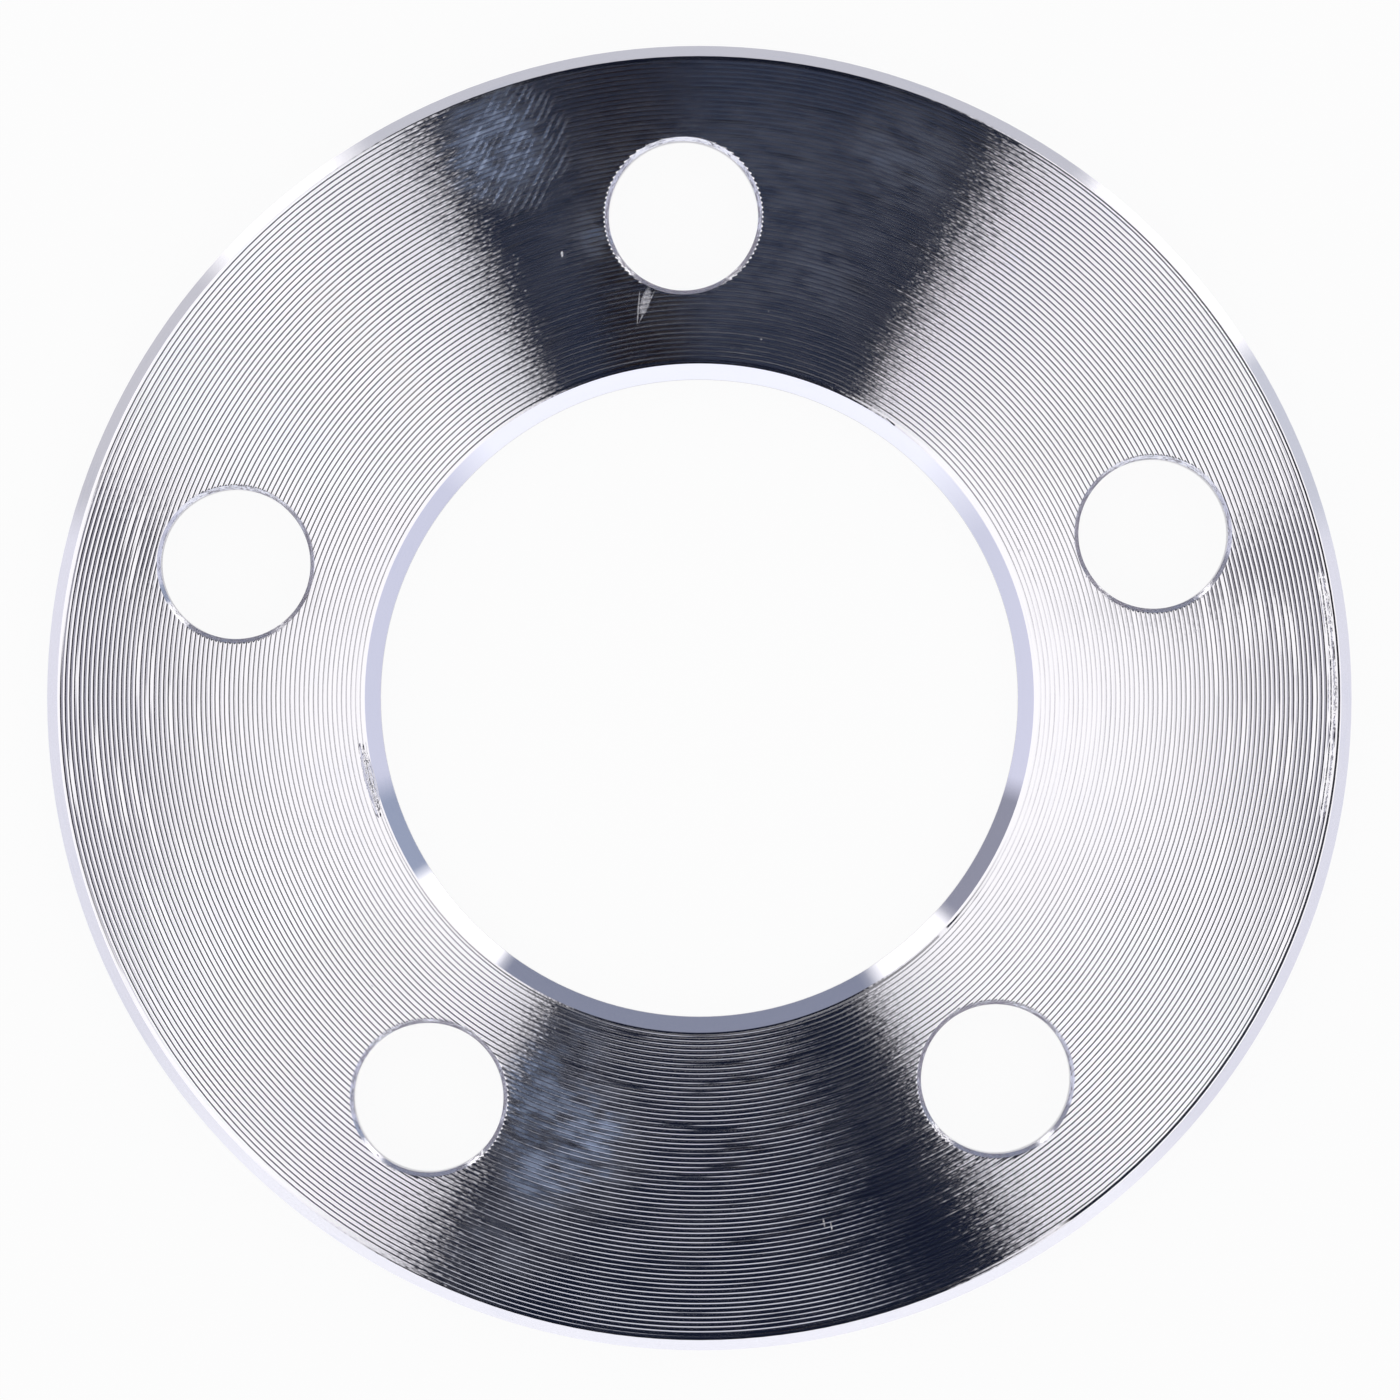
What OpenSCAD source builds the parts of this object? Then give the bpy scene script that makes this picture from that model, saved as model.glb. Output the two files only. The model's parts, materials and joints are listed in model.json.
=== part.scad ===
// Flat wheel spacer: a turned aluminium ring that fits between a wheel hub and a
// wheel. The bore clears the hub's spigot and the studs pass through plain holes.
// Lengths are in millimetres. The hub face lies on Z = 0, the wheel face above it.

/* [Ring] */
// Outside diameter
outer_d = 135.2; // [124:0.1:170]
// Thickness from the hub face to the wheel face
thickness = 5; // [4:0.5:20]
// Diameter of the bore that goes over the hub's spigot
bore_d = 66.1; // [50:0.1:76]

/* [Stud holes] */
// Number of stud holes, evenly spaced, with the first on +Y
stud_count = 5; // [3:1:8]
// Diameter of the circle through the hole centres
bolt_circle_d = 100; // [90:0.1:112]
// Diameter of each stud hole
stud_hole_d = 15.5; // [12:0.1:19]

/* [Edges] */
// Chamfer round the outside of both faces
rim_chamfer = 1.1; // [0.2:0.1:1.8]
// Chamfer at both mouths of the bore
bore_chamfer = 1.6; // [0.2:0.1:1.8]
// Edge break at both mouths of each stud hole
hole_chamfer = 0.45; // [0.1:0.05:1.2]

/* [Turning marks] */
// Feed of the facing cut in one turn, which spaces the marks
feed = 0.485; // [0.4:0.005:0.7]
// Nose radius of the facing tool, which sets how deep the marks are
nose_r = 0.8; // [0.5:0.1:1.6]
// Plain land between the bore's chamfer and the first mark, and at least that at the rim
face_land = 0.35; // [0.2:0.05:2]

/* [Hidden] */

// Length by which a cutter runs past the face that it opens
cut_past = 1;
// Number of sides of a drawn circle
round_fn = 240;

rim_r = outer_d / 2;
bore_r = bore_d / 2;
stud_hole_r = stud_hole_d / 2;

// Radii between which both faces are flat
face_in_r = bore_r + bore_chamfer;
face_out_r = rim_r - rim_chamfer;

// Marks as deep as the round tool nose leaves them, from the bore out to the rim
mark_depth = nose_r - sqrt(pow(nose_r, 2) - pow(feed / 2, 2));
mark_in_r = face_in_r + face_land;
mark_count = floor((face_out_r - mark_in_r - face_land) / feed);

// Radius and depth of each crest and floor of the marks, from the bore outwards
marks = [
    for (step = [0 : 2 * mark_count])
        [mark_in_r + step * feed / 2, step % 2 == 0 ? 0 : mark_depth]
];

// Half section of the ring: radius across, height up
wheel_side = [for (mark = marks) [mark[0], thickness - mark[1]]];
hub_side = [for (step = [len(marks) - 1 : -1 : 0]) marks[step]];
half_section = concat(
    [
        [face_in_r, 0],
        [bore_r, bore_chamfer],
        [bore_r, thickness - bore_chamfer],
        [face_in_r, thickness]
    ],
    wheel_side,
    [
        [face_out_r, thickness],
        [rim_r, thickness - rim_chamfer],
        [rim_r, rim_chamfer],
        [face_out_r, 0]
    ],
    hub_side
);

// Ring as it leaves the lathe
module turned_ring() {
    rotate_extrude($fn = round_fn) polygon(half_section);
}

// Cutter for one stud hole, with the edge break at both mouths
module stud_hole() {
    past_r = stud_hole_r + hole_chamfer + cut_past;
    rotate_extrude($fn = round_fn) polygon([
        [0, -cut_past],
        [past_r, -cut_past],
        [stud_hole_r, hole_chamfer],
        [stud_hole_r, thickness - hole_chamfer],
        [past_r, thickness + cut_past],
        [0, thickness + cut_past]
    ]);
}

module spacer_ring() {
    color("silver") difference() {
        turned_ring();
        for (stud = [0 : stud_count - 1])
            rotate(stud * 360 / stud_count)
                translate([0, bolt_circle_d / 2, 0])
                    stud_hole();
    }
}

spacer_ring();
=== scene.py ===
"""Flat aluminium wheel spacer in a plain studio.

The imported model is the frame. The ring is turned again here as a fine mesh, with the spiral
that the facing tool leaves on both faces, then drilled, given its metal and set on a pale floor
in a light tent, seen from straight above.
"""

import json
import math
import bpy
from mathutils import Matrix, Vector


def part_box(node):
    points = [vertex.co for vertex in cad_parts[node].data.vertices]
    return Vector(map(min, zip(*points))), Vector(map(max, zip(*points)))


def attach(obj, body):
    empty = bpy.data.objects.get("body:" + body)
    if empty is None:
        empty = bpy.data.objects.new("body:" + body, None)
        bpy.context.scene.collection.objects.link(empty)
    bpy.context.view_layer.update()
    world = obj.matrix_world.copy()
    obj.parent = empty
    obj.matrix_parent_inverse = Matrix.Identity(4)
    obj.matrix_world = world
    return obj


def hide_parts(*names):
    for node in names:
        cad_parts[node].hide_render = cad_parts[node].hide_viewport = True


bl_info = {
    "name": "Wheel Spacer",
    "version": (1, 0, 0),
    "blender": (4, 5, 0),
    "location": "3D View > Sidebar > Spacer",
    "description": "Turns, drills and finishes a flat wheel spacer and sets it in a light tent",
    "category": "Object",
}

import bmesh
import bpy
from bpy.props import FloatProperty, FloatVectorProperty, IntProperty, PointerProperty
from mathutils import Matrix, Vector, noise

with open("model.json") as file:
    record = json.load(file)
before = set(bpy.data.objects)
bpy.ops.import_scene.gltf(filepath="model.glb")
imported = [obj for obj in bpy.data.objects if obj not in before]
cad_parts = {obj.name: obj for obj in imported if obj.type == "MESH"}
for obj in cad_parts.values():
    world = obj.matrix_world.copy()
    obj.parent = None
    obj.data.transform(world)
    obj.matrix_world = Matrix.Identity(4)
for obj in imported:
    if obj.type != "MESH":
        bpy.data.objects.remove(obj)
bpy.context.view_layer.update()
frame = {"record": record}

MM = 0.001
NODE = "spacer_ring"

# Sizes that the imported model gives
RING_LOW, RING_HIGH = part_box(NODE)
MOUNTS = {mount["name"]: mount["dims"] for mount in frame["record"]["mounts"]}
BORE = MOUNTS["centre_bore"]
STUDS = MOUNTS["stud_holes"]
THICKNESS = RING_HIGH.z - RING_LOW.z
BORE_WALL = BORE["length_mm"] * MM

# Photograph that the camera is matched to, in its own pixels
PHOTO_SIDE = 1400
PHOTO_CENTRE = (699.35, 698.1)
PHOTO_STUD_CIRCLE_R = 482.8

# Making of the mesh
SAME_PLACE = 1e-6
SHARP_ANGLE = math.radians(5)
HOLE_STEPS = 96
HOLE_LIP = 0.03 * MM
HOLE_LIP_SLOPE = math.radians(10)
DRILL_PAST = 1 * MM

# Skips of the tool: their length along the cut, the step of their noise from turn to turn,
# the noise at which they start, and how much more makes them full
SKIP_LENGTH = 2.5 * MM
SKIP_TURN_STEP = 3.1
SKIP_FROM = 0.45
SKIP_RISE = 0.1

# Where the tool skips more than elsewhere: place and half size in millimetres, strength
SKIPS = (
    ((0.0, -50.0), (28.0, 18.0), 0.15),
    ((16.0, -53.0), (13.0, 10.0), 0.3),
)

# Marks of use on the wheel face: place and half size in millimetres, turn in degrees, strength
SMEARS = (
    ((-12.8, -44.6), (6.0, 4.0), 5, 1.5),
    ((-17.9, -48.6), (6.0, 5.0), 0, 1.3),
    ((-18.4, -41.0), (5.0, 8.0), -12, 1.2),
    ((-15.9, -44.9), (9.5, 10.5), 25, 1.1),
    ((-22.0, -55.4), (10.0, 7.0), 20, 0.3),
    ((-14.0, -35.5), (5.5, 5.5), 0, 0.4),
    ((-19.6, 58.0), (6.8, 8.0), 0, 1.3),
    ((-9.6, 48.2), (2.8, 3.8), 0, 0.5),
    ((23.0, 55.0), (9.0, 7.5), -20, 0.42),
    ((13.5, 44.5), (6.0, 8.5), 20, 0.3),
    ((6.0, 50.0), (28.0, 17.0), 0, 0.2),
)
SCRATCHES = (
    ((-4.97, 40.63), (0.10, 2.05), -6.4, 0.55),
    ((-4.14, 40.61), (0.10, 2.25), -27.8, 0.5),
    ((-4.25, 41.20), (0.55, 1.70), -17.0, 0.55),
    ((-12.70, 46.43), (0.16, 0.38), 0, 1.0),
    ((11.10, -54.70), (0.09, 0.55), 8, 0.7),
    ((11.85, -55.10), (0.09, 0.70), 8, 0.7),
)
CHATTER = ((-17.0, 57.4), (6.2, 7.6), -14, 1.0)
BURRS = (
    ((-34.35, -7.4), (0.6, 4.2), 12.5, 1.0),
    ((65.24, 6.86), (0.55, 5.0), 6, 0.3),
    ((65.58, -1.72), (0.55, 5.0), -1.5, 0.3),
    ((64.79, -10.26), (0.5, 5.0), -9, 0.25),
)

# Scale at which one band of a wave texture is one unit wide
WAVE_UNIT = math.pi / 10

# Slant of the chattered ridges to the ring
CHATTER_SLANT = (0, 0, math.radians(-30))

# Most that grain turns the normal of a flank, and that the round nose of the tool eases it
GRAIN_TILT = 0.016
NOSE_EASE = 0.024

# How dull chattered ridges and raw scratches are, and how much film they count as
RIDGE_ROUGHNESS = 0.13
RIDGE_FILM = 0.18
SCRATCH_ROUGHNESS = 0.6
SCRATCH_FILM = 0.8

# Stage
FLOOR_HALF_SIDE = 4
FLOOR_GAP = 0.02 * MM
FLOOR_WHITE_SEEN = 0.93
FLOOR_WHITE_MIRRORED = 0.35
TENT_R = 60
CLOTH_ALBEDO = 0.95
CAMERA_REACH = 20

# Cloths and lamp in the roof of the tent, by how far a ray leans to the right and to the back:
# middle, half size, turn in degrees, soft share of the edge, colour
DARK_CLOTHS = (
    ((0.20, -0.42), (0.11, 0.20), 0, 0.75, "#171D30"),
    ((-0.06, 0.44), (0.08, 0.05), 0, 0.6, "#1E1818"),
    ((0.055, -0.363), (0.07, 0.022), 0, 0.6, "#1C1818"),
)
SIDE_CLOTHS = (
    ((0.444, 0.1025), (0.014, 0.06), 13, 0.8, "#6C6C76"),
    ((-0.440, 0.118), (0.014, 0.06), -15, 0.8, "#64646E"),
)
CAMERA_LAMP = ((0.003, -0.002), (0.045, 0.024), 0, 0.45, "#FFFFFF")


def linear(hex_colour):
    """Turn an sRGB hex colour into linear red, green and blue."""
    channels = [int(hex_colour[i : i + 2], 16) / 255 for i in (1, 3, 5)]
    return [c / 12.92 if c <= 0.04045 else ((c + 0.055) / 1.055) ** 2.4 for c in channels]


def size_property(name, description, default):
    """A length in metres with a name and a description."""
    return FloatProperty(name=name, description=description, default=default, unit="LENGTH", precision=5)


class RingSizes(bpy.types.PropertyGroup):
    """Sizes of the turned and drilled ring."""

    outer_d: size_property("Outside", "Outside diameter of the ring", 2 * max(RING_HIGH.x, RING_HIGH.y))
    thickness: size_property("Thickness", "From the hub face to the wheel face", THICKNESS)
    bore_d: size_property("Bore", "Diameter of the bore", 2 * BORE["r_mm"] * MM)
    stud_circle_d: size_property("Stud circle", "Circle through the stud holes", STUDS["pcd_mm"] * MM)
    stud_hole_d: size_property("Stud hole", "Diameter of a stud hole", 2 * STUDS["hole_r_mm"] * MM)
    stud_count: IntProperty(name="Studs", description="Number of stud holes", default=STUDS["count"])
    rim_chamfer: size_property("Rim chamfer", "Chamfer round both faces", 1.1 * MM)
    bore_chamfer: size_property(
        "Bore chamfer", "Chamfer at both mouths of the bore", (THICKNESS - BORE_WALL) / 2
    )
    hole_chamfer: size_property("Hole edge", "Edge break at both mouths of a stud hole", 0.45 * MM)


class FacingCut(bpy.types.PropertyGroup):
    """How the lathe tool faced the ring."""

    feed: size_property("Feed", "Way that the tool moves out in one turn", 0.485 * MM)
    bore_land: size_property("Bore land", "Plain strip by the bore chamfer, worn to a slope", 0.18 * MM)
    rim_land: size_property("Rim land", "Plain strip by the rim chamfer, worn to a slope", 0.12 * MM)
    flank_angle: FloatProperty(
        name="Flank",
        description="Slope of the flanks of the marks",
        default=math.radians(11),
        subtype="ANGLE",
    )
    land_angle: FloatProperty(
        name="Land slope",
        description="Slope of the worn strips",
        default=math.radians(8),
        subtype="ANGLE",
    )
    floor_share: FloatProperty(
        name="Floor",
        description="Share of the feed that is the flat floor of a mark",
        default=0.27,
        subtype="FACTOR",
    )
    skips: FloatProperty(
        name="Skips",
        description="How much shallower a mark is where the tool skipped",
        default=0.12,
        subtype="FACTOR",
    )
    steps: IntProperty(name="Steps", description="Faces round the ring", default=192)


class MetalFinish(bpy.types.PropertyGroup):
    """Look of the bare turned metal."""

    colour: FloatVectorProperty(
        name="Metal",
        description="Colour of the bare aluminium",
        default=linear("#F5F3F8"),
        subtype="COLOR",
    )
    film_colour: FloatVectorProperty(
        name="Film",
        description="Colour of the dried film",
        default=linear("#B9C8E8"),
        subtype="COLOR",
    )
    roughness: FloatProperty(
        name="Roughness",
        description="Roughness of the clean cut",
        default=0.035,
        subtype="FACTOR",
    )


class Studio(bpy.types.PropertyGroup):
    """Camera, floor and light tent."""

    camera_height: size_property("Camera", "Height of the camera above the wheel face", 1.3)
    roll: FloatProperty(
        name="Roll",
        description="Turn of the camera about its own axis",
        default=math.radians(-1.89),
        subtype="ANGLE",
    )
    floor_colour: FloatVectorProperty(
        name="Floor",
        description="Colour of the floor",
        default=linear("#F4F4F7"),
        subtype="COLOR",
    )
    room_light: FloatProperty(name="Room", description="Strength of the room's even light", default=0.75)
    tent_light: FloatProperty(name="Tent", description="Strength of the light tent", default=0.38)
    wall_light: FloatProperty(
        name="Walls",
        description="Strength of the walls against that of the roof",
        default=1.45,
    )


def sizes():
    return bpy.context.scene.spacer_ring_sizes


def cut():
    return bpy.context.scene.spacer_facing_cut


def finish():
    return bpy.context.scene.spacer_metal_finish


def studio():
    return bpy.context.scene.spacer_studio


def new_object(name, bm):
    """Put a bmesh into a new object of the scene."""
    mesh = bpy.data.meshes.new(name)
    bm.to_mesh(mesh)
    bm.free()
    made = bpy.data.objects.new(name, mesh)
    bpy.context.scene.collection.objects.link(made)
    return made


def new_material(name):
    """Make a material with an empty node tree."""
    material = bpy.data.materials.new(name)
    material.use_nodes = True
    material.node_tree.nodes.clear()
    return material, material.node_tree


def add(tree, kind, inputs=(), stops=(), out=0, **settings):
    """Add one node and return one of its outputs, by number or name.

    The node gets its settings, its inputs from values or sockets, and the stops of a ramp.
    """
    node = tree.nodes.new(kind)
    for name, value in settings.items():
        setattr(node, name, value)
    for key, value in dict(inputs).items():
        if isinstance(value, bpy.types.NodeSocket):
            tree.links.new(value, node.inputs[key])
        else:
            node.inputs[key].default_value = value
    for index, (position, hex_colour) in enumerate(stops):
        elements = node.color_ramp.elements
        element = elements[index] if index < 2 else elements.new(position)
        element.position = position
        element.color = (*linear(hex_colour), 1)
    return node.outputs[out] if len(node.outputs) else None


def closed_outline(bm, points):
    """Lay out a closed outline of the half section in the XZ plane and return its edges."""
    verts = [bm.verts.new((radius, 0, height)) for radius, height in points]
    return [bm.edges.new((vert, verts[(i + 1) % len(verts)])) for i, vert in enumerate(verts)]


def mark_shape():
    """Place across the mark and depth, both in feeds, of its crest and of both sides of its floor."""
    flank = (1 - cut().floor_share) / 2
    depth = flank * math.tan(cut().flank_angle)
    return [(0.0, 0.0), (flank, depth), (1 - flank, depth)]


def worn_edge(reach, depth, land):
    """Reach from the edge and depth of a point, once the strip beside the edge is worn to a slope."""
    # The first point from the edge goes onto it, and the next one to the far side of the strip
    near = 0.4 * land
    widest_step = cut().feed * (1 - cut().floor_share) / 2
    if reach < near:
        return 0, land * math.tan(cut().land_angle)
    if reach < near + widest_step:
        return land, 0
    return reach, min(depth, (reach - land) * math.tan(cut().flank_angle))


def more_skips(place):
    """How much likelier it is that the tool skips at a place than elsewhere on the face."""
    more = 0
    for (x, y), (width, height), strength in SKIPS:
        aside = math.hypot((place.x / MM - x) / width, (place.y / MM - y) / height)
        more = max(more, strength * (1 - aside**2))
    return more


def cut_spiral(verts, last_ring, into, face_z, shape, count, face_in, face_out):
    """Move the vertices of one face so that they follow the spiral of the facing cut."""
    feed = cut().feed
    waves = face_out / SKIP_LENGTH
    for vert in verts:
        radius = math.hypot(vert.co.x, vert.co.y)
        way_x, way_y = vert.co.x / radius, vert.co.y / radius
        turned = math.tau if vert in last_ring else math.atan2(way_y, way_x) % math.tau
        index = round((radius - face_in) / (face_out - face_in) * count)
        place, depth = shape[index % len(shape)]
        turn = index // len(shape) + turned / math.tau
        skip = noise.noise((way_x * waves, way_y * waves, turn * SKIP_TURN_STEP)) + more_skips(vert.co)
        missed = min(1, max(0, (skip - SKIP_FROM) / SKIP_RISE))
        depth *= feed * (1 - cut().skips * missed)
        from_bore, depth = worn_edge((turn - 1 + place) * feed, depth, cut().bore_land)
        from_rim, depth = worn_edge(face_out - face_in - from_bore, depth, cut().rim_land)
        radius = face_out - from_rim
        vert.co = (way_x * radius, way_y * radius, face_z + into * depth)


def turn_ring():
    """Spin the half section, cut the facing spiral into both faces and close the seam."""
    ring = sizes()
    outer, bore, top = ring.outer_d / 2, ring.bore_d / 2, ring.thickness
    face_in, face_out = bore + ring.bore_chamfer, outer - ring.rim_chamfer
    bm = bmesh.new()
    outline = closed_outline(
        bm,
        [
            (face_in, 0),
            (bore, ring.bore_chamfer),
            (bore, top - ring.bore_chamfer),
            (face_in, top),
            (face_out, top),
            (outer, top - ring.rim_chamfer),
            (outer, ring.rim_chamfer),
            (face_out, 0),
        ],
    )
    shape = mark_shape()
    count = (math.ceil((face_out - face_in) / cut().feed) + 1) * len(shape)
    wheel_face, hub_face = outline[3], outline[7]
    for edge in (wheel_face, hub_face):
        bmesh.ops.subdivide_edges(bm, edges=[edge], cuts=count - 1)

    # The spin stays open, because the spiral joins each turn to the next one at the seam
    spun = bmesh.ops.spin(
        bm,
        geom=bm.verts[:] + bm.edges[:],
        axis=(0, 0, 1),
        cent=(0, 0, 0),
        angle=math.tau,
        steps=cut().steps,
        use_merge=False,
    )
    last_ring = {item for item in spun["geom_last"] if isinstance(item, bmesh.types.BMVert)}
    for face_z, into in ((top, -1), (0.0, 1)):
        on_face = [v for v in bm.verts if abs(v.co.z - face_z) < SAME_PLACE]
        cut_spiral(on_face, last_ring, into, face_z, shape, count, face_in, face_out)
    bmesh.ops.remove_doubles(bm, verts=bm.verts, dist=2 * SAME_PLACE)
    bmesh.ops.recalc_face_normals(bm, faces=bm.faces)
    return new_object("spacer_ring_turned", bm)


def stud_drills():
    """Make one object with a drill through each stud hole.

    Each drill is wider at both mouths, for the edge break and its worn lip.
    """
    ring = sizes()
    radius, edge, top = ring.stud_hole_d / 2, ring.hole_chamfer, ring.thickness
    lip_r = radius + edge - HOLE_LIP
    past_r = lip_r + (DRILL_PAST + HOLE_LIP) / math.tan(HOLE_LIP_SLOPE)
    outline = [
        (0, -DRILL_PAST),
        (past_r, -DRILL_PAST),
        (lip_r, HOLE_LIP),
        (radius, edge),
        (radius, top - edge),
        (lip_r, top - HOLE_LIP),
        (past_r, top + DRILL_PAST),
        (0, top + DRILL_PAST),
    ]
    bm = bmesh.new()
    for stud in range(ring.stud_count):
        turn = Matrix.Rotation(stud * math.tau / ring.stud_count, 4, "Z")
        centre = turn @ Vector((0, ring.stud_circle_d / 2, 0))
        verts = [bm.verts.new(centre + Vector((r, 0, z))) for r, z in outline]
        edges = [bm.edges.new(pair) for pair in zip(verts, verts[1:])]
        bmesh.ops.spin(
            bm,
            geom=verts + edges,
            axis=(0, 0, 1),
            cent=centre,
            angle=math.tau,
            steps=HOLE_STEPS,
            use_merge=True,
        )
    bmesh.ops.remove_doubles(bm, verts=bm.verts, dist=SAME_PLACE)
    bmesh.ops.recalc_face_normals(bm, faces=bm.faces)
    return new_object("stud_drills", bm)


def drill(ring, drills):
    """Take the drills out of the ring, and keep the result as the ring's own mesh."""
    boolean = ring.modifiers.new("Stud holes", "BOOLEAN")
    boolean.operation = "DIFFERENCE"
    boolean.solver = "MANIFOLD"
    boolean.material_mode = "TRANSFER"
    boolean.object = drills
    depsgraph = bpy.context.evaluated_depsgraph_get()
    drilled = bpy.data.meshes.new_from_object(ring.evaluated_get(depsgraph))
    turned = ring.data
    ring.modifiers.clear()
    ring.data = drilled
    drilled.name = ring.name
    bpy.data.meshes.remove(turned)
    bpy.data.objects.remove(drills)


def soft_patch(tree, point, centre, size, turn=0.0, edge=0.5):
    """Mask of a soft oval that is 1 in its middle and falls to 0 over the outer share given by edge."""
    local = add(
        tree,
        "ShaderNodeMapping",
        {"Vector": point, "Location": centre, "Rotation": (0, 0, turn), "Scale": size},
        vector_type="TEXTURE",
    )
    far = add(tree, "ShaderNodeVectorMath", {0: local}, out="Value", operation="LENGTH")
    return add(
        tree,
        "ShaderNodeMapRange",
        {"Value": far, "From Min": 1, "From Max": 1 - edge},
        interpolation_type="SMOOTHSTEP",
    )


def wheel_face_patch(tree, point, place, size, turn, strength, edge=0.5):
    """Soft oval on the wheel face only. Place and size are in millimetres and turn is in degrees."""
    centre = (place[0] * MM, place[1] * MM, sizes().thickness)
    half_size = (size[0] * MM, size[1] * MM, 1 * MM)
    mask = soft_patch(tree, point, centre, half_size, math.radians(turn), edge)
    return add(tree, "ShaderNodeMath", {0: mask, 1: strength}, operation="MULTIPLY")


def strongest(tree, masks):
    """The strongest of several masks at each point."""
    top = masks[0]
    for mask in masks[1:]:
        top = add(tree, "ShaderNodeMath", {0: top, 1: mask}, operation="MAXIMUM")
    return top


def from_axis(tree, point):
    """Straight way out from the axis of the ring, and how far out a point is."""
    flat = add(tree, "ShaderNodeVectorMath", {0: point, 1: (1, 1, 0)}, operation="MULTIPLY")
    outward = add(tree, "ShaderNodeVectorMath", {0: flat}, operation="NORMALIZE")
    radius = add(tree, "ShaderNodeVectorMath", {0: flat}, out="Value", operation="LENGTH")
    return outward, radius


def lathe_noise(tree, point, along, across, detail):
    """Noise that runs round the ring, so that it is drawn out along the cut.

    along is the length of its grains round the ring and across their width, both in metres.
    """
    outward, radius = from_axis(tree, point)
    middle_r = (sizes().outer_d + sizes().bore_d) / 4
    round_ring = add(
        tree,
        "ShaderNodeVectorMath",
        {0: outward, "Scale": middle_r / along},
        operation="SCALE",
    )
    out = add(tree, "ShaderNodeMath", {0: radius, 1: across}, operation="DIVIDE")
    step = add(tree, "ShaderNodeCombineXYZ", {"Z": out})
    place = add(tree, "ShaderNodeVectorMath", {0: round_ring, 1: step}, operation="ADD")
    return add(tree, "ShaderNodeTexNoise", {"Vector": place, "Scale": 1, "Detail": detail})


def sides_of_marks(tree, outward):
    """Masks of the hollows and of the flanks of the facing marks, by how far the metal leans out or in."""
    facing = add(tree, "ShaderNodeNewGeometry", out="Normal")
    leaning = add(
        tree,
        "ShaderNodeVectorMath",
        {0: facing, 1: outward},
        out="Value",
        operation="DOT_PRODUCT",
    )
    hollow = add(tree, "ShaderNodeMapRange", {"Value": leaning, "From Min": 0.12, "From Max": 0.03})
    flanks = add(
        tree,
        "ShaderNodeValToRGB",
        {"Fac": add(tree, "ShaderNodeMath", {0: leaning}, operation="ABSOLUTE")},
        stops=[(0.08, "#000000"), (0.14, "#FFFFFF"), (0.24, "#FFFFFF"), (0.32, "#000000")],
    )
    return hollow, flanks


def chatter_ridges(tree, point):
    """Ridges where the tool chattered, close together, broken up and slanting across the cut."""
    ridges = add(
        tree,
        "ShaderNodeMapping",
        {"Vector": point, "Rotation": CHATTER_SLANT, "Scale": (0.7 * MM, 1.3 * MM, 1)},
        vector_type="TEXTURE",
    )
    ridges = add(
        tree,
        "ShaderNodeTexWave",
        {"Vector": ridges, "Scale": WAVE_UNIT, "Distortion": 5, "Detail": 2, "Detail Scale": 0.6},
        out="Fac",
    )
    ridges = add(tree, "ShaderNodeMapRange", {"Value": ridges, "From Min": 0.35, "From Max": 0.9})
    breaks = add(
        tree,
        "ShaderNodeMapping",
        {"Vector": point, "Rotation": CHATTER_SLANT, "Scale": (0.8 * MM, 2.4 * MM, 1)},
        vector_type="TEXTURE",
    )
    breaks = add(tree, "ShaderNodeTexNoise", {"Vector": breaks, "Scale": 1, "Detail": 2})
    breaks = add(tree, "ShaderNodeMapRange", {"Value": breaks, "From Min": 0.38, "From Max": 0.62})
    chatter = wheel_face_patch(tree, point, *CHATTER, edge=0.3)
    ridges = add(tree, "ShaderNodeMath", {0: ridges, 1: breaks}, operation="MULTIPLY")
    return add(tree, "ShaderNodeMath", {0: ridges, 1: chatter}, operation="MULTIPLY")


def burr_flakes(tree, point):
    """Height of the flakes of burr that still hang on the edges of the bore and the rim."""
    flakes = add(tree, "ShaderNodeTexNoise", {"Vector": point, "Scale": 1 / (0.4 * MM), "Detail": 2})
    burr = strongest(tree, [wheel_face_patch(tree, point, *burr) for burr in BURRS])
    return add(tree, "ShaderNodeMath", {0: flakes, 1: burr}, operation="MULTIPLY")


def torn_flanks(tree, point, outward, flanks):
    """Turn of the normal along the cut where grain tears the flanks, so that a line ends in beads.

    The grain is coarser than the real one, to show at all.
    """
    grain = lathe_noise(tree, point, 0.45 * MM, 0.3 * MM, 1)
    tilt = add(
        tree,
        "ShaderNodeMapRange",
        {"Value": grain, "To Min": -GRAIN_TILT, "To Max": GRAIN_TILT},
    )
    tilt = add(tree, "ShaderNodeMath", {0: tilt, 1: flanks}, operation="MULTIPLY")
    cutting = add(
        tree,
        "ShaderNodeVectorMath",
        {0: outward, 1: (0, 0, 1)},
        operation="CROSS_PRODUCT",
    )
    return add(tree, "ShaderNodeVectorMath", {0: cutting, "Scale": tilt}, operation="SCALE")


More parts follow.
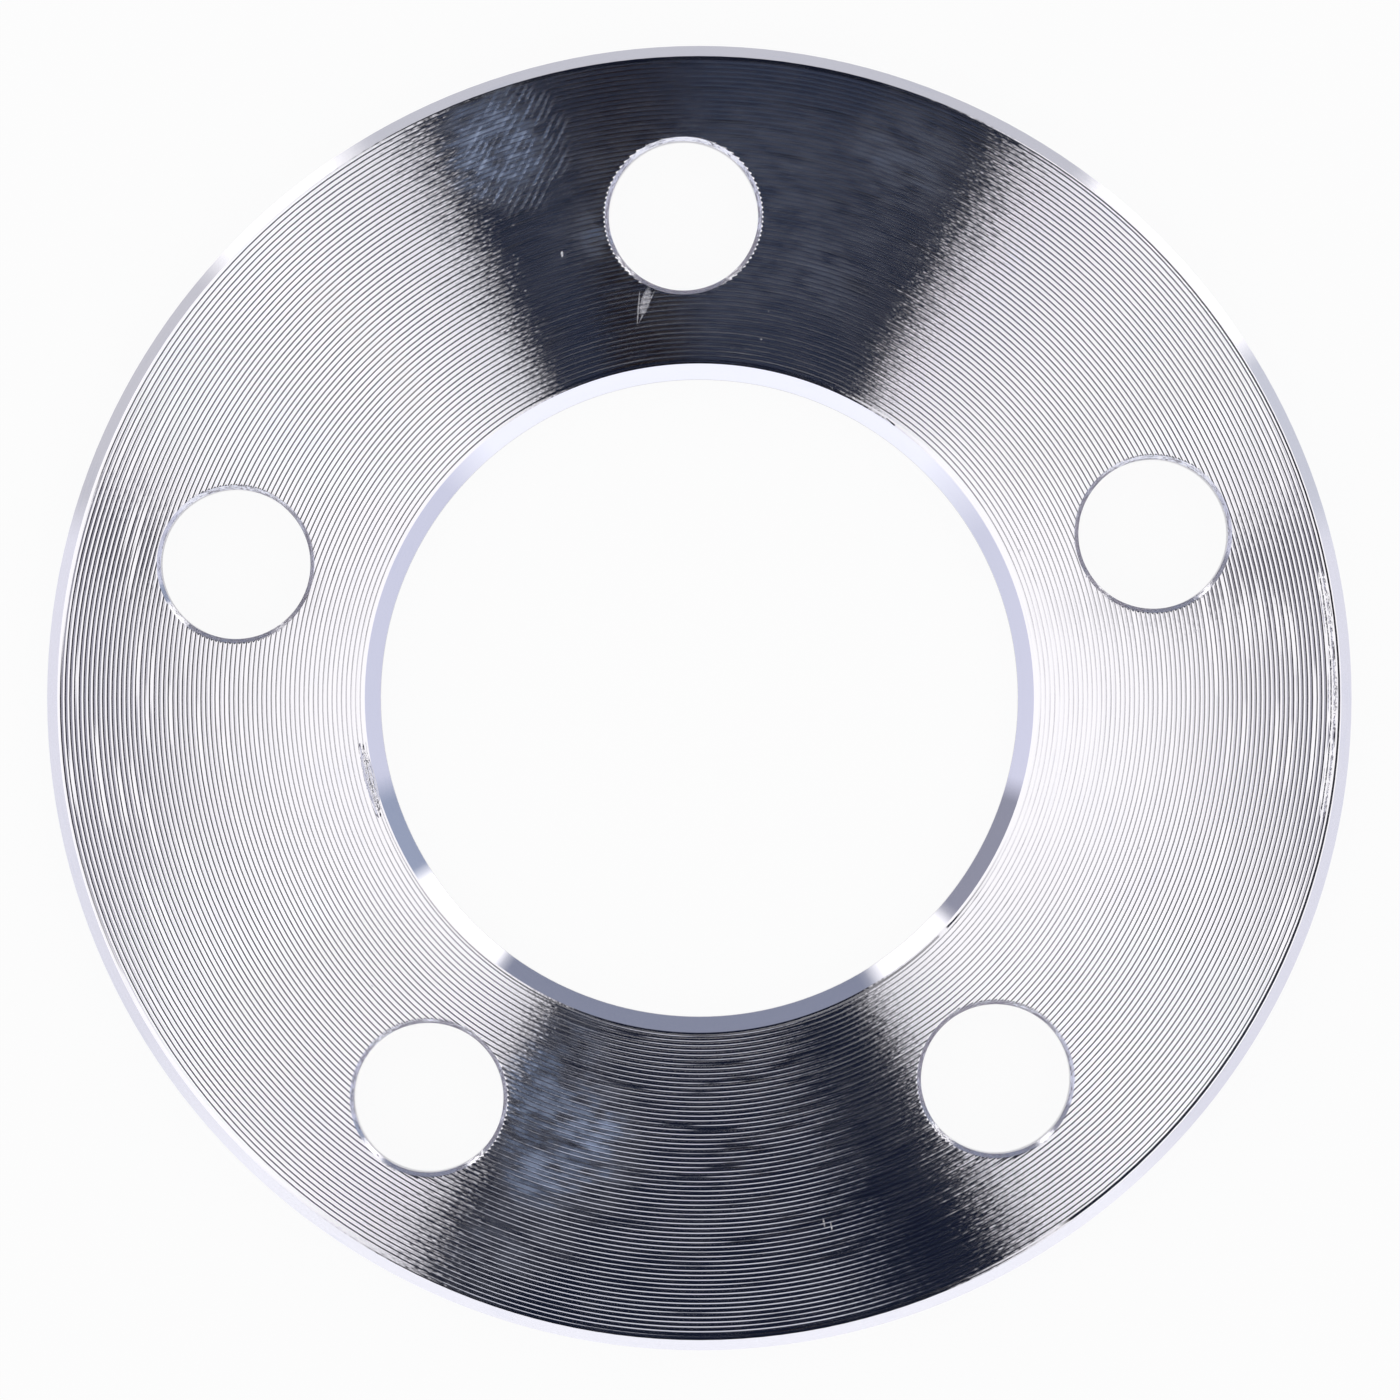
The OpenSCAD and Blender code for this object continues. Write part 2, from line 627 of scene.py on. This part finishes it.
def eased_flanks(tree, point, outward, radius, hollow, flanks):
    """Turn of the normal where the round nose of the tool leaves an outward flank less steep.

    That is beside the floor of a mark, and at the front and the back of the ring.
    """
    axes = add(tree, "ShaderNodeSeparateXYZ", {"Vector": point}).node.outputs
    turned = add(tree, "ShaderNodeMath", {0: axes["Y"], 1: axes["X"]}, operation="ARCTAN2")
    turned = add(tree, "ShaderNodeMath", {0: turned, 1: math.tau}, operation="DIVIDE")
    face_in = sizes().bore_d / 2 + sizes().bore_chamfer
    place = add(tree, "ShaderNodeMath", {0: radius, 1: face_in}, operation="SUBTRACT")
    place = add(tree, "ShaderNodeMath", {0: place, 1: cut().feed}, operation="DIVIDE")
    place = add(tree, "ShaderNodeMath", {0: place, 1: turned}, operation="SUBTRACT")
    place = add(tree, "ShaderNodeMath", {0: place}, operation="FRACT")
    easing = add(
        tree,
        "ShaderNodeMapRange",
        {"Value": place, "From Min": 0.10, "From Max": 0.26, "To Min": 0, "To Max": -NOSE_EASE},
    )
    upright = add(tree, "ShaderNodeMath", {0: axes["Y"], 1: radius}, operation="DIVIDE")
    upright = add(tree, "ShaderNodeMath", {0: upright, 1: upright}, operation="MULTIPLY")
    raised = add(tree, "ShaderNodeMath", {0: 1, 1: hollow}, operation="SUBTRACT")
    for mask in (upright, raised, flanks):
        easing = add(tree, "ShaderNodeMath", {0: easing, 1: mask}, operation="MULTIPLY")
    return add(tree, "ShaderNodeVectorMath", {0: outward, "Scale": easing}, operation="SCALE")


def dried_film(tree, point, hollow, ridges):
    """Dried film of coolant, thin and in lines along the cut, that veils the dark reflections.

    It is thicker in the smears, where it settled in the hollows, and on the chattered ridges.
    """
    clouds = add(tree, "ShaderNodeTexNoise", {"Vector": point, "Scale": 1 / (8 * MM), "Detail": 4})
    clouds = add(tree, "ShaderNodeMapRange", {"Value": clouds, "From Min": 0.38, "From Max": 0.68})
    lines = add(
        tree,
        "ShaderNodeMapRange",
        {
            "Value": lathe_noise(tree, point, 3 * MM, 0.3 * MM, 2),
            "From Min": 0.35,
            "From Max": 0.75,
            "To Min": 0,
            "To Max": 0.035,
        },
    )
    film = add(tree, "ShaderNodeMath", {0: clouds, 1: lines}, operation="MULTIPLY")
    blots = add(
        tree,
        "ShaderNodeMapRange",
        {
            "Value": lathe_noise(tree, point, 2.4 * MM, 0.9 * MM, 4),
            "From Min": 0.34,
            "From Max": 0.66,
            "To Min": 0.03,
            "To Max": 0.38,
        },
    )
    settled = add(tree, "ShaderNodeMapRange", {"Value": hollow, "To Min": 0.3, "To Max": 1})
    blots = add(tree, "ShaderNodeMath", {0: blots, 1: settled}, operation="MULTIPLY")
    smears = strongest(tree, [wheel_face_patch(tree, point, *smear, edge=0.75) for smear in SMEARS])
    film = add(tree, "ShaderNodeMath", {0: smears, 1: blots, 2: film}, operation="MULTIPLY_ADD")
    return add(tree, "ShaderNodeMath", {0: ridges, 1: RIDGE_FILM, 2: film}, operation="MULTIPLY_ADD")


def raw_scratches(tree, point):
    """Scratches, nicks and pits: raw torn metal that scatters light as a powder does."""
    pits = add(tree, "ShaderNodeTexVoronoi", {"Vector": point, "Scale": 1 / (8 * MM)}, out="Distance")
    pits = add(tree, "ShaderNodeMapRange", {"Value": pits, "From Min": 0.022, "From Max": 0.012})
    scratches = [wheel_face_patch(tree, point, *scratch, edge=0.4) for scratch in SCRATCHES]
    scratches = strongest(tree, [pits, *scratches])
    hatch = add(tree, "ShaderNodeTexNoise", {"Vector": point, "Scale": 1 / (0.25 * MM), "Detail": 1})
    return add(tree, "ShaderNodeMath", {0: scratches, 1: hatch}, operation="MULTIPLY")


def turned_aluminium():
    """Aluminium faced on a lathe.

    The eye gets a mirror-bright cut whose grooves each throw a light and a dark line, torn a
    little along the cut, with a chattered patch, dull smears and a few scratches on the wheel face.
    """
    material, tree = new_material("Turned_aluminium")
    point = add(tree, "ShaderNodeTexCoord", out="Object")
    outward, radius = from_axis(tree, point)
    hollow, flanks = sides_of_marks(tree, outward)
    ridges = chatter_ridges(tree, point)
    scratches = raw_scratches(tree, point)

    # Streaks that the tool edge leaves along the cut, and the duller ridges and scratches
    roughness = add(
        tree,
        "ShaderNodeMapRange",
        {
            "Value": lathe_noise(tree, point, 9 * MM, 0.12 * MM, 2),
            "From Min": 0.3,
            "From Max": 0.75,
            "To Min": finish().roughness,
            "To Max": 0.07,
        },
    )
    roughness = add(tree, "ShaderNodeMix", {0: ridges, 2: roughness, 3: RIDGE_ROUGHNESS})
    roughness = add(tree, "ShaderNodeMix", {0: scratches, 2: roughness, 3: SCRATCH_ROUGHNESS})

    # Ridges and burr stand up, and the flanks are torn and eased
    normal = add(tree, "ShaderNodeBump", {"Height": ridges, "Distance": 0.003 * MM})
    normal = add(
        tree,
        "ShaderNodeBump",
        {"Height": burr_flakes(tree, point), "Distance": 0.12 * MM, "Normal": normal},
    )
    torn = torn_flanks(tree, point, outward, flanks)
    eased = eased_flanks(tree, point, outward, radius, hollow, flanks)
    for turn in (torn, eased):
        normal = add(tree, "ShaderNodeVectorMath", {0: normal, 1: turn}, operation="ADD")
    normal = add(tree, "ShaderNodeVectorMath", {0: normal}, operation="NORMALIZE")

    # The film tints the metal, and film and scratches both take away its mirror
    film = dried_film(tree, point, hollow, ridges)
    colour = add(
        tree,
        "ShaderNodeMix",
        {
            0: add(tree, "ShaderNodeMapRange", {"Value": film, "From Min": 0.01, "From Max": 0.2}),
            6: (*finish().colour, 1),
            7: (*finish().film_colour, 1),
        },
        out=2,
        data_type="RGBA",
    )
    dull = add(
        tree,
        "ShaderNodeMath",
        {0: scratches, 1: SCRATCH_FILM, 2: film},
        operation="MULTIPLY_ADD",
    )
    metal = add(tree, "ShaderNodeMath", {0: 1, 1: dull}, operation="SUBTRACT", use_clamp=True)
    shader = add(
        tree,
        "ShaderNodeBsdfPrincipled",
        {"Base Color": colour, "Metallic": metal, "Roughness": roughness, "Normal": normal},
    )
    add(tree, "ShaderNodeOutputMaterial", {"Surface": shader})
    return material


def drilled_aluminium():
    """Aluminium drilled and edge-broken by hand.

    The eye gets rings down the wall of the hole and an uneven, torn edge.
    """
    material, tree = new_material("Drilled_aluminium")
    point = add(tree, "ShaderNodeTexCoord", out="Object")
    ring_size = (2.5 * MM, 2.5 * MM, 0.16 * MM)
    rings = add(tree, "ShaderNodeVectorMath", {0: point, 1: ring_size}, operation="DIVIDE")
    rings = add(tree, "ShaderNodeTexNoise", {"Vector": rings, "Scale": 1, "Detail": 2})
    roughness = add(
        tree,
        "ShaderNodeMapRange",
        {"Value": rings, "From Min": 0.3, "From Max": 0.7, "To Min": 0.08, "To Max": 0.18},
    )
    normal = add(tree, "ShaderNodeBump", {"Height": rings, "Distance": 0.005 * MM})
    torn = add(tree, "ShaderNodeTexNoise", {"Vector": point, "Scale": 1 / (1.2 * MM), "Detail": 3})
    normal = add(tree, "ShaderNodeBump", {"Height": torn, "Distance": 0.04 * MM, "Normal": normal})
    shader = add(
        tree,
        "ShaderNodeBsdfPrincipled",
        {"Base Color": (*finish().colour, 1), "Metallic": 1, "Roughness": roughness, "Normal": normal},
    )
    add(tree, "ShaderNodeOutputMaterial", {"Surface": shader})
    return material


class SPACER_OT_turn_ring(bpy.types.Operator):
    """Turn the ring, drill its stud holes and give it its metal"""

    bl_idname = "spacer.turn_ring"
    bl_label = "Turn Ring"

    def execute(self, context):
        ring = turn_ring()
        ring.data.materials.append(turned_aluminium())
        drills = stud_drills()
        drills.data.materials.append(drilled_aluminium())
        drill(ring, drills)
        ring.data.shade_smooth()
        ring.data.set_sharp_from_angle(angle=SHARP_ANGLE)
        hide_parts(NODE)
        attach(ring, "root")
        return {"FINISHED"}


def roof_panels(tree, lean, across):
    """Two lit panels that widen outwards from the middle of the roof, like a bow tie."""
    far = add(tree, "ShaderNodeVectorMath", {0: lean}, out="Value", operation="LENGTH")
    skew = add(
        tree,
        "ShaderNodeMapRange",
        {"Value": far, "From Min": 0.38, "From Max": 0.42, "To Min": 0.011, "To Max": -0.011},
    )
    aside = add(tree, "ShaderNodeMath", {0: across, 1: skew}, operation="ADD")
    aside = add(tree, "ShaderNodeMath", {0: aside, 1: far}, operation="DIVIDE")
    panels = add(
        tree,
        "ShaderNodeValToRGB",
        {"Fac": add(tree, "ShaderNodeMath", {0: aside}, operation="ABSOLUTE")},
        stops=[
            (0.445, "#000000"),
            (0.480, "#A8A8AC"),
            (0.520, "#DDDDE0"),
            (0.590, "#F0F0F2"),
            (0.690, "#FFFFFF"),
        ],
    )
    outwards = add(
        tree,
        "ShaderNodeVectorMath",
        {0: lean, 1: (1, 0.9, 0), 2: (-0.0015, 0, 0)},
        operation="MULTIPLY_ADD",
    )
    ends = add(
        tree,
        "ShaderNodeValToRGB",
        {"Fac": add(tree, "ShaderNodeVectorMath", {0: outwards}, out="Value", operation="LENGTH")},
        stops=[
            (0.100, "#000000"),
            (0.180, "#FFFFFF"),
            (0.450, "#FFFFFF"),
            (0.460, "#9494A0"),
            (0.500, "#625F6C"),
            (0.600, "#D8DAE4"),
        ],
    )
    return add(
        tree,
        "ShaderNodeMix",
        {0: 1, 6: panels, 7: ends},
        out=2,
        data_type="RGBA",
        blend_type="MULTIPLY",
    )


def roof_slot(tree, along):
    """The dark slot between the panels, from its pale front end to its blue-black back."""
    reach = 0.7
    stops = [
        (-0.43, "#D0D3DC"),
        (-0.412, "#171C2B"),
        (-0.385, "#171C2B"),
        (-0.372, "#292E3C"),
        (-0.345, "#292E3C"),
        (-0.30, "#14161E"),
        (-0.03, "#131929"),
        (0.012, "#1A161A"),
        (0.028, "#272C3A"),
        (0.05, "#272C3A"),
        (0.07, "#131826"),
        (0.378, "#131826"),
        (0.392, "#2C3242"),
        (0.44, "#343C4E"),
    ]
    return add(
        tree,
        "ShaderNodeValToRGB",
        {"Fac": add(tree, "ShaderNodeMapRange", {"Value": along, "From Min": -reach, "From Max": reach})},
        stops=[((lean + reach) / (2 * reach), colour) for lean, colour in stops],
    )


def lay_over(tree, under, lean, patch, blend):
    """Lay one soft cloth or lamp over what is already in the roof."""
    (right, back), (width, depth), turn, edge, colour = patch
    mask = soft_patch(tree, lean, (right, back, 0), (width, depth, 1), math.radians(turn), edge)
    return add(
        tree,
        "ShaderNodeMix",
        {0: mask, 6: under, 7: (*linear(colour), 1)},
        out=2,
        data_type="RGBA",
        blend_type=blend,
    )


def tent_walls(tree, x, y, z):
    """Walls by the bearing of a ray, clockwise from the back, in half shade between foot and roof."""
    bearing = add(tree, "ShaderNodeMath", {0: x, 1: y}, operation="ARCTAN2")
    bearing = add(tree, "ShaderNodeMath", {0: bearing, 1: math.tau}, operation="DIVIDE")
    bearing = add(tree, "ShaderNodeMath", {0: bearing}, operation="FRACT")
    walls = add(
        tree,
        "ShaderNodeValToRGB",
        {"Fac": bearing},
        stops=[
            (0.100, "#6E7383"),
            (0.107, "#FFFFFF"),
            (0.155, "#FFFFFF"),
            (0.163, "#7E879A"),
            (0.200, "#7E879A"),
            (0.212, "#ADB0BF"),
            (0.360, "#ADB0BF"),
            (0.390, "#D0D3DB"),
            (0.620, "#D0D3DB"),
            (0.665, "#AEB1BF"),
            (0.790, "#B2B4C3"),
            (0.800, "#787A87"),
            (0.862, "#787A87"),
            (0.872, "#FFFFFF"),
            (0.902, "#FFFFFF"),
            (0.915, "#6E7383"),
        ],
    )
    walls = add(
        tree,
        "ShaderNodeVectorMath",
        {0: walls, "Scale": studio().wall_light},
        operation="SCALE",
    )
    shade = add(
        tree,
        "ShaderNodeValToRGB",
        {"Fac": z},
        stops=[(0.12, "#FFFFFF"), (0.26, "#BABBC0"), (0.55, "#BABBC0"), (0.85, "#FFFFFF")],
    )
    return add(
        tree,
        "ShaderNodeMix",
        {0: 1, 6: walls, 7: shade},
        out=2,
        data_type="RGBA",
        blend_type="MULTIPLY",
    )


def tent_cloth():
    """White cloth of the light tent, lit from behind and by the room.

    The metal mirrors it: a dark slot overhead between two lit panels, dark cloths, a soft lamp by
    the camera, and paler walls.
    """
    material, tree = new_material("Tent_cloth")
    place = add(tree, "ShaderNodeTexCoord", out="Object")
    way = add(tree, "ShaderNodeVectorMath", {0: place}, operation="NORMALIZE")
    way = add(
        tree,
        "ShaderNodeMapping",
        {"Vector": way, "Rotation": (0, 0, -studio().roll)},
        vector_type="VECTOR",
    )
    x, y, z = add(tree, "ShaderNodeSeparateXYZ", {"Vector": way}).node.outputs

    # Roof, by how far a ray leans over to the right and to the back
    lowest_rise = 0.02
    rise = add(tree, "ShaderNodeMath", {0: z, 1: lowest_rise}, operation="MAXIMUM")
    across = add(tree, "ShaderNodeMath", {0: x, 1: rise}, operation="DIVIDE")
    along = add(tree, "ShaderNodeMath", {0: y, 1: rise}, operation="DIVIDE")
    lean = add(tree, "ShaderNodeCombineXYZ", {"X": across, "Y": along})
    roof = roof_slot(tree, along)
    for cloth in DARK_CLOTHS:
        roof = lay_over(tree, roof, lean, cloth, "DARKEN")
    roof = add(
        tree,
        "ShaderNodeMix",
        {0: 1, 6: roof, 7: roof_panels(tree, lean, across)},
        out=2,
        data_type="RGBA",
        blend_type="LIGHTEN",
    )
    for cloth in SIDE_CLOTHS:
        roof = lay_over(tree, roof, lean, cloth, "DARKEN")
    roof = lay_over(tree, roof, lean, CAMERA_LAMP, "LIGHTEN")

    height = add(tree, "ShaderNodeMapRange", {"Value": z, "From Min": 0.4, "From Max": 0.85})
    tent = add(
        tree,
        "ShaderNodeMix",
        {0: height, 6: tent_walls(tree, x, y, z), 7: roof},
        out=2,
        data_type="RGBA",
    )
    lit = add(tree, "ShaderNodeEmission", {"Color": tent, "Strength": studio().tent_light})
    pale = add(tree, "ShaderNodeVectorMath", {0: tent, "Scale": CLOTH_ALBEDO}, operation="SCALE")
    cloth = add(tree, "ShaderNodeBsdfDiffuse", {"Color": pale})
    both = add(tree, "ShaderNodeAddShader", {0: lit, 1: cloth})
    add(tree, "ShaderNodeOutputMaterial", {"Surface": both})
    material.cycles.emission_sampling = "NONE"
    return material


def hang_tent():
    """Hang the tent so wide round the stage that every part of the ring mirrors it alike."""
    bm = bmesh.new()
    bmesh.ops.create_uvsphere(bm, u_segments=64, v_segments=32, radius=TENT_R)
    tent = new_object("tent", bm)
    tent.data.shade_smooth()
    tent.data.materials.append(tent_cloth())
    tent.visible_camera = False
    tent.visible_diffuse = False
    tent.visible_shadow = False


def light_room():
    """Even white light all round, and plain white behind the stage."""
    world = bpy.data.worlds.new("Room")
    world.use_nodes = True
    bpy.context.scene.world = world
    tree = world.node_tree
    tree.nodes.clear()
    seen = add(tree, "ShaderNodeLightPath", out="Is Camera Ray")
    strength = add(
        tree,
        "ShaderNodeMapRange",
        {"Value": seen, "To Min": studio().room_light, "To Max": 1},
    )
    light = add(tree, "ShaderNodeBackground", {"Color": (1, 1, 1, 1), "Strength": strength})
    add(tree, "ShaderNodeOutputWorld", {"Surface": light})


def floor_card():
    """White satin card.

    The eye gets a pale, even floor from above, and a soft sheen on it at a low angle.
    """
    material, tree = new_material("Satin_card")
    card = add(
        tree,
        "ShaderNodeBsdfPrincipled",
        {"Base Color": (*studio().floor_colour, 1), "Roughness": 0.08},
    )
    white = add(tree, "ShaderNodeEmission", {"Color": (1, 1, 1, 1), "Strength": 1})
    path = add(tree, "ShaderNodeLightPath").node.outputs
    mirrored = add(
        tree,
        "ShaderNodeMath",
        {0: path["Is Glossy Ray"], 1: path["Is Transmission Ray"]},
        operation="ADD",
    )
    mirrored = add(tree, "ShaderNodeMath", {0: mirrored, 1: FLOOR_WHITE_MIRRORED}, operation="MULTIPLY")
    share = add(
        tree,
        "ShaderNodeMath",
        {0: path["Is Camera Ray"], 1: FLOOR_WHITE_SEEN, 2: mirrored},
        operation="MULTIPLY_ADD",
    )
    both = add(tree, "ShaderNodeMixShader", {0: share, 1: card, 2: white})
    add(tree, "ShaderNodeOutputMaterial", {"Surface": both})
    return material


def lay_floor():
    """Lay a wide floor just under the hub face."""
    bm = bmesh.new()
    bmesh.ops.create_grid(bm, x_segments=1, y_segments=1, size=FLOOR_HALF_SIDE)
    bmesh.ops.translate(bm, verts=bm.verts, vec=(0, 0, RING_LOW.z - FLOOR_GAP))
    floor = new_object("floor", bm)
    floor.data.materials.append(floor_card())


def hang_camera():
    """Hang the camera straight above the ring, framed as the photograph is."""
    pixel = sizes().stud_circle_d / 2 / PHOTO_STUD_CIRCLE_R
    middle = PHOTO_SIDE / 2
    right = (middle - PHOTO_CENTRE[0]) * pixel
    down = (middle - PHOTO_CENTRE[1]) * pixel
    turn = Matrix.Rotation(studio().roll, 4, "Z")
    data = bpy.data.cameras.new("Camera")
    data.lens = data.sensor_width * studio().camera_height / (PHOTO_SIDE * pixel)
    data.clip_end = CAMERA_REACH
    camera = bpy.data.objects.new("Camera", data)
    camera.location = turn @ Vector((right, -down, sizes().thickness + studio().camera_height))
    camera.rotation_euler = (0, 0, studio().roll)
    bpy.context.scene.collection.objects.link(camera)
    bpy.context.scene.camera = camera


class SPACER_OT_set_stage(bpy.types.Operator):
    """Lay the floor, put up the light tent and hang the camera"""

    bl_idname = "spacer.set_stage"
    bl_label = "Set Stage"

    def execute(self, context):
        lay_floor()
        hang_tent()
        light_room()
        hang_camera()
        context.scene.view_settings.view_transform = "Standard"
        return {"FINISHED"}


class SPACER_PT_sidebar(bpy.types.Panel):
    """Sizes, finish and stage of the wheel spacer"""

    bl_idname = "SPACER_PT_sidebar"
    bl_label = "Wheel Spacer"
    bl_space_type = "VIEW_3D"
    bl_region_type = "UI"
    bl_category = "Spacer"

    def draw(self, context):
        for group in (sizes(), cut(), finish(), studio()):
            box = self.layout.box()
            for name in group.__annotations__:
                box.prop(group, name)
        self.layout.operator(SPACER_OT_turn_ring.bl_idname)
        self.layout.operator(SPACER_OT_set_stage.bl_idname)


GROUPS = {
    "spacer_ring_sizes": RingSizes,
    "spacer_facing_cut": FacingCut,
    "spacer_metal_finish": MetalFinish,
    "spacer_studio": Studio,
}
CLASSES = (*GROUPS.values(), SPACER_OT_turn_ring, SPACER_OT_set_stage, SPACER_PT_sidebar)


def register():
    for cls in CLASSES:
        bpy.utils.register_class(cls)
    for name, group in GROUPS.items():
        setattr(bpy.types.Scene, name, PointerProperty(type=group))


def unregister():
    for name in GROUPS:
        delattr(bpy.types.Scene, name)
    for cls in reversed(CLASSES):
        bpy.utils.unregister_class(cls)


def main():
    register()
    bpy.ops.spacer.turn_ring()
    bpy.ops.spacer.set_stage()


if __name__ == "__main__":
    main()
